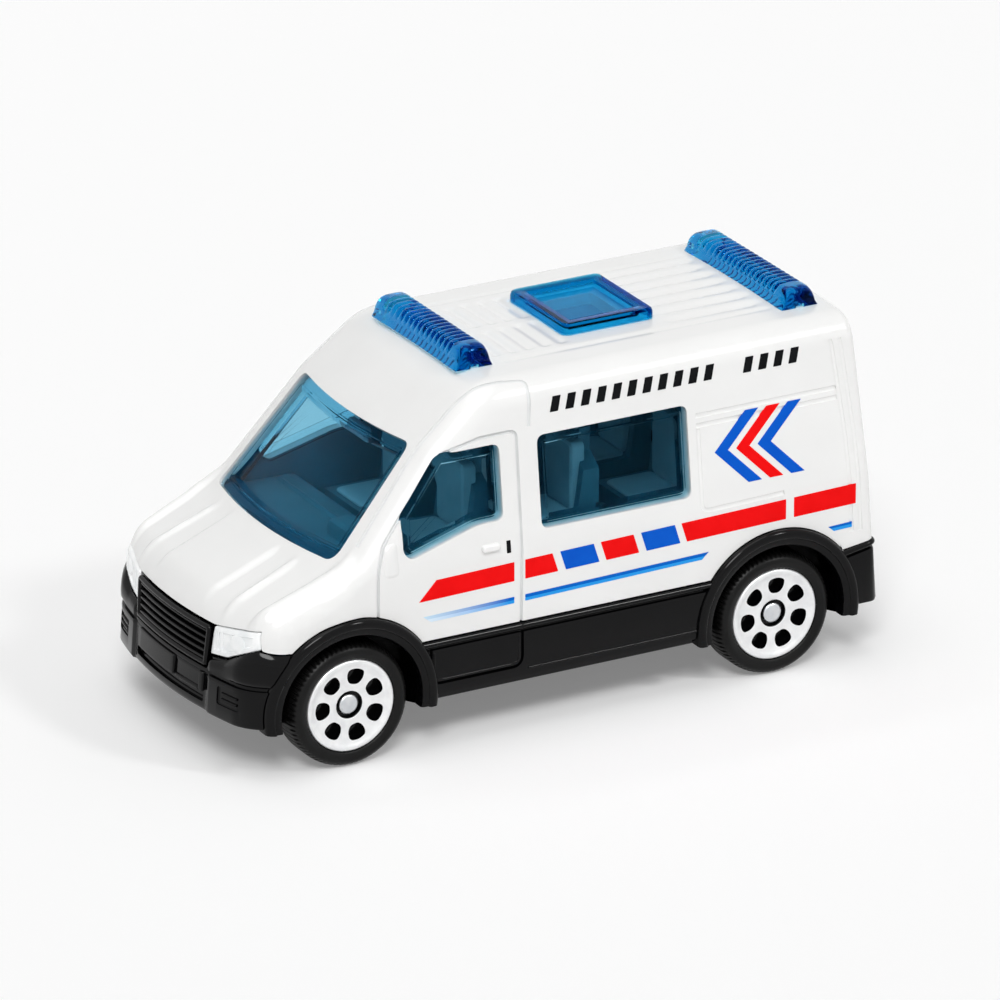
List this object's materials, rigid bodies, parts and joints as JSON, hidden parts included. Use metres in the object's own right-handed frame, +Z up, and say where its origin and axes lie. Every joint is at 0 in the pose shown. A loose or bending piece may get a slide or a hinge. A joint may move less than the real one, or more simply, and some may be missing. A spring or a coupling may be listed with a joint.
{
  "type": "die-cast toy ambulance van",
  "caption": "Hollow die-cast toy ambulance van on a plastic base, with translucent glazing, roof light bars, a seat moulding and free-rolling wheels on steel axles.",
  "frame": {"origin": "middle of the van's box, on the ground under the tyres", "axes": "+X towards the nose, +Y towards the driver's side (left), +Z up"},
  "size_m": [0.0716, 0.032, 0.0381],
  "materials": {
    "paint": "glossy white enamel over a zinc casting",
    "cladding": "satin black moulded plastic",
    "glazing": "clear blue moulded plastic",
    "beacon": "clear deep blue fluted plastic",
    "moulding": "grey moulded plastic",
    "rubber": "black moulded tyre",
    "wheel": "bright silver on moulded plastic",
    "steel": "drawn steel",
    "lamp": "bright silvered moulding"
  },
  "bodies": {
    "car_body": {"body_shell": "paint", "window_unit": "glazing", "front_lightbar": "beacon", "rear_lightbar": "beacon", "roof_hatch": "glazing", "chassis_base": "cladding", "front_bumper_grille": "cladding", "headlamp_left": "lamp", "headlamp_right": "lamp", "interior_tub": "moulding", "base_screw_front": "steel", "base_screw_rear": "steel"},
    "front_axle_body": {"front_axle": "steel"},
    "rear_axle_body": {"rear_axle": "steel"},
    "front_left_wheel_body": {"front_left_tyre": "rubber", "front_left_wheel": "wheel"},
    "front_right_wheel_body": {"front_right_tyre": "rubber", "front_right_wheel": "wheel"},
    "rear_left_wheel_body": {"rear_left_tyre": "rubber", "rear_left_wheel": "wheel"},
    "rear_right_wheel_body": {"rear_right_tyre": "rubber", "rear_right_wheel": "wheel"}
  },
  "joints": [
    {"name": "front_axle_spin", "type": "hinge", "parent": "car_body", "child": "front_axle_body", "pos_m": [0.02305, 0, 0.00631], "axis": [0, 1, 0], "continuous": true},
    {"name": "rear_axle_spin", "type": "hinge", "parent": "car_body", "child": "rear_axle_body", "pos_m": [-0.02395, 0, 0.00631], "axis": [0, 1, 0], "continuous": true},
    {"name": "front_left_wheel_spin", "type": "hinge", "parent": "front_axle_body", "child": "front_left_wheel_body", "pos_m": [0.02305, 0.0129, 0.00631], "axis": [0, 1, 0], "continuous": true},
    {"name": "front_right_wheel_spin", "type": "hinge", "parent": "front_axle_body", "child": "front_right_wheel_body", "pos_m": [0.02305, -0.0129, 0.00631], "axis": [0, 1, 0], "continuous": true},
    {"name": "rear_left_wheel_spin", "type": "hinge", "parent": "rear_axle_body", "child": "rear_left_wheel_body", "pos_m": [-0.02395, 0.0129, 0.00631], "axis": [0, 1, 0], "continuous": true},
    {"name": "rear_right_wheel_spin", "type": "hinge", "parent": "rear_axle_body", "child": "rear_right_wheel_body", "pos_m": [-0.02395, -0.0129, 0.00631], "axis": [0, 1, 0], "continuous": true}
  ]
}
